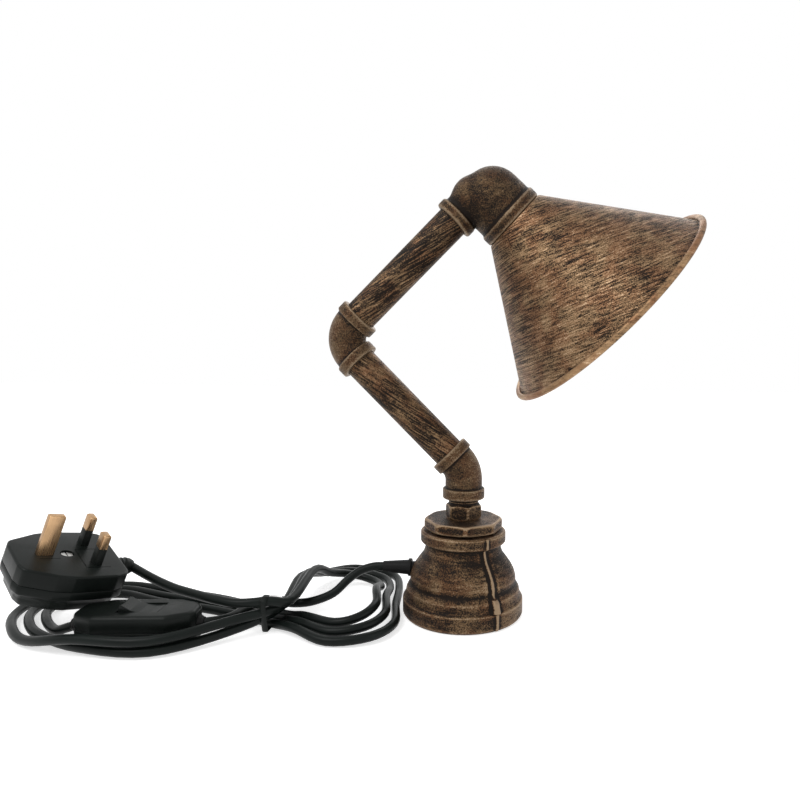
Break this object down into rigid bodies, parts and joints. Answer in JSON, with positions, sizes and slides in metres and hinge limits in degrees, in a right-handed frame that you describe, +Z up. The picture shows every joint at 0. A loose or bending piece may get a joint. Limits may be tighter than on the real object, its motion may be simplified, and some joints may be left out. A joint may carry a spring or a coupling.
{
  "type": "industrial pipe table lamp",
  "caption": "Table lamp of threaded pipe fittings with a cone shade on a turning bent arm, and a flex with in-line rocker switch and three-pin plug.",
  "frame": {"origin": "centre of the underside of the base, on the table", "axes": "+Z up along the base and its nipple; the arm lies in the XZ plane with the shade towards +X, and the flex leaves towards -X"},
  "size_m": [0.3844, 0.1667, 0.2582],
  "materials": {
    "iron": "antique bronze over black, dry-brushed",
    "bronze": "antique bronze streaks over black",
    "shade_bronze": "antique bronze streaks over black, satin",
    "zinc_steel": "zinc plated",
    "felt": "felt",
    "flex_black": "satin PVC sheath",
    "plug_black": "semi-gloss moulded plastic",
    "brass": "bright",
    "ceramic": "glazed ceramic",
    "bulb_glass": "clear"
  },
  "bodies": {
    "base": {"bell_socket": "iron", "base_plate": "zinc_steel", "felt_pad": "felt", "reducing_bush": "iron", "hex_nipple": "bronze", "strain_relief": "flex_black", "relief_nut": "plug_black", "earth_screw": "brass", "base_lead": "flex_black", "cord_base_run": "flex_black", "cord_switch_run": "flex_black", "cord_hank": "flex_black", "cord_plug_run": "flex_black", "cord_tie": "flex_black", "switch_bottom": "plug_black", "switch_top": "plug_black", "switch_screws": "zinc_steel", "switch_contacts": "brass", "rocker_pin": "zinc_steel", "plug_base": "plug_black", "plug_cover": "plug_black", "plug_screw": "zinc_steel", "earth_pin": "brass", "live_pin": "brass", "neutral_pin": "brass", "pin_sleeves": "plug_black", "fuse": "ceramic", "fuse_clips": "brass", "flex_grip": "plug_black"},
    "lower_arm": {"elbow_45": "iron", "lower_pipe": "bronze", "lower_lead": "flex_black"},
    "upper_arm": {"mid_elbow": "iron", "upper_pipe": "bronze", "upper_lead": "flex_black"},
    "head": {"top_elbow": "iron", "outlet_bush": "brass", "holder_cap": "plug_black", "holder_body": "plug_black", "holder_insert": "ceramic", "holder_contact": "brass", "screw_shell": "brass", "shade_ring": "plug_black", "shade": "shade_bronze", "bulb_cap": "zinc_steel", "bulb_glass": "bulb_glass", "bulb_filament": "brass", "head_lead": "flex_black"},
    "switch_rocker": {"rocker": "plug_black"}
  },
  "joints": [
    {"name": "base_swivel", "type": "hinge", "parent": "base", "child": "lower_arm", "pos_m": [0, 0, 0.0722], "axis": [0, 0, 1], "range_deg": [-120, 120]},
    {"name": "elbow_turn", "type": "hinge", "parent": "lower_arm", "child": "upper_arm", "pos_m": [-0.07495, 0, 0.16055], "axis": [-0.7071, 0, 0.7071], "range_deg": [-60, 60]},
    {"name": "head_turn", "type": "hinge", "parent": "upper_arm", "child": "head", "pos_m": [0.00948, 0, 0.24498], "axis": [0.7071, 0, 0.7071], "range_deg": [-90, 90]},
    {"name": "rocker_tip", "type": "hinge", "parent": "base", "child": "switch_rocker", "pos_m": [-0.16401, -0.05676, 0.0145], "axis": [-0.1219, 0.9925, 0], "range_deg": [-18, 0]}
  ]
}
